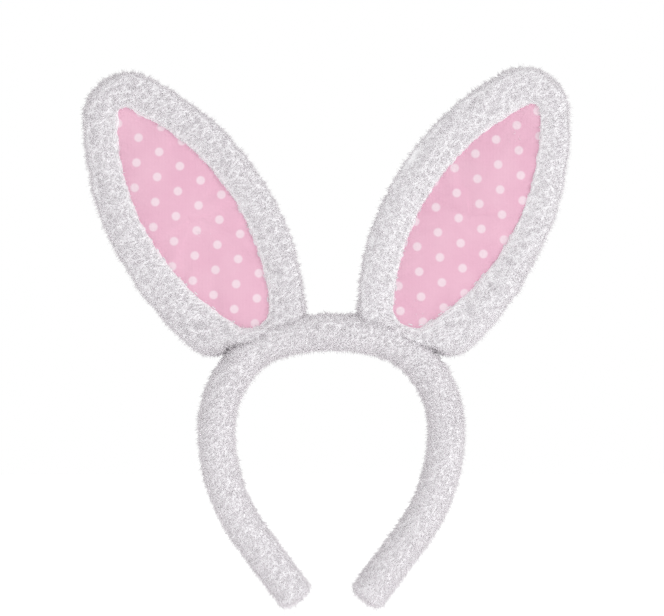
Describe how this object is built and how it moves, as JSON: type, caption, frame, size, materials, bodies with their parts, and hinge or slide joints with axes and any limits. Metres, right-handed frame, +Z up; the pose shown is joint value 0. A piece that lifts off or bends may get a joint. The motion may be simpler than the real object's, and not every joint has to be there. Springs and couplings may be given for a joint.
{
  "type": "animal ears headband",
  "caption": "Plush headband with two upright rabbit ears: a sprung strip in a padded fur sleeve, with wire-framed ears lined in dotted cloth.",
  "frame": {"origin": "the point of the sleeve under the crown, midway between the ears, that rests on the top of the head", "axes": "+X across the head towards the ear on the right as seen from the front, +Z up towards the ear tips, -Y is the side with the dotted linings"},
  "size_m": [0.2606, 0.017, 0.2907],
  "materials": {
    "white_fur_cloth": "short dense plush pile",
    "pink_lining": "smooth matt cotton with pale dots",
    "wadding": "matt polyester wadding",
    "thread": "matt sewing thread",
    "strip_plastic": "moulded, slightly satin",
    "frame_wire": "drawn steel wire"
  },
  "bodies": {
    "crown": {"core_strip_crown": "strip_plastic", "band_wadding_crown": "wadding", "fur_sleeve_crown": "white_fur_cloth", "sleeve_seam_thread_crown": "thread"},
    "left_half": {"core_strip_left": "strip_plastic", "band_wadding_left": "wadding", "fur_sleeve_left": "white_fur_cloth", "sleeve_seam_thread_left": "thread", "sleeve_end_thread_left": "thread"},
    "left_ear": {"ear_wire_left": "frame_wire", "ear_wadding_left": "wadding", "ear_back_left": "white_fur_cloth", "ear_border_left": "white_fur_cloth", "ear_lining_left": "pink_lining", "ear_edge_thread_left": "thread", "ear_lining_thread_left": "thread", "ear_base_thread_left": "thread"},
    "right_half": {"core_strip_right": "strip_plastic", "band_wadding_right": "wadding", "fur_sleeve_right": "white_fur_cloth", "sleeve_seam_thread_right": "thread", "sleeve_end_thread_right": "thread"},
    "right_ear": {"ear_wire_right": "frame_wire", "ear_wadding_right": "wadding", "ear_back_right": "white_fur_cloth", "ear_border_right": "white_fur_cloth", "ear_lining_right": "pink_lining", "ear_edge_thread_right": "thread", "ear_lining_thread_right": "thread", "ear_base_thread_right": "thread"}
  },
  "joints": [
    {"name": "left_spread", "type": "hinge", "parent": "crown", "child": "left_half", "pos_m": [-0.009, 0, 0.00662], "axis": [0, 1, 0], "range_deg": [-4, 16], "stiffness_Nm_per_rad": 1.3, "springref_deg": 1.43},
    {"name": "right_spread", "type": "hinge", "parent": "crown", "child": "right_half", "pos_m": [0.009, 0, 0.00662], "axis": [0, -1, 0], "range_deg": [-4, 16], "stiffness_Nm_per_rad": 1.3, "springref_deg": 1.43},
    {"name": "left_ear_rock", "type": "hinge", "parent": "left_half", "child": "left_ear", "pos_m": [-0.03431, 0, -0.00294], "axis": [0.8842, 0, 0.4671], "range_deg": [-35, 35]},
    {"name": "right_ear_rock", "type": "hinge", "parent": "right_half", "child": "right_ear", "pos_m": [0.03431, 0, -0.00294], "axis": [0.8842, 0, -0.4671], "range_deg": [-35, 35]}
  ]
}
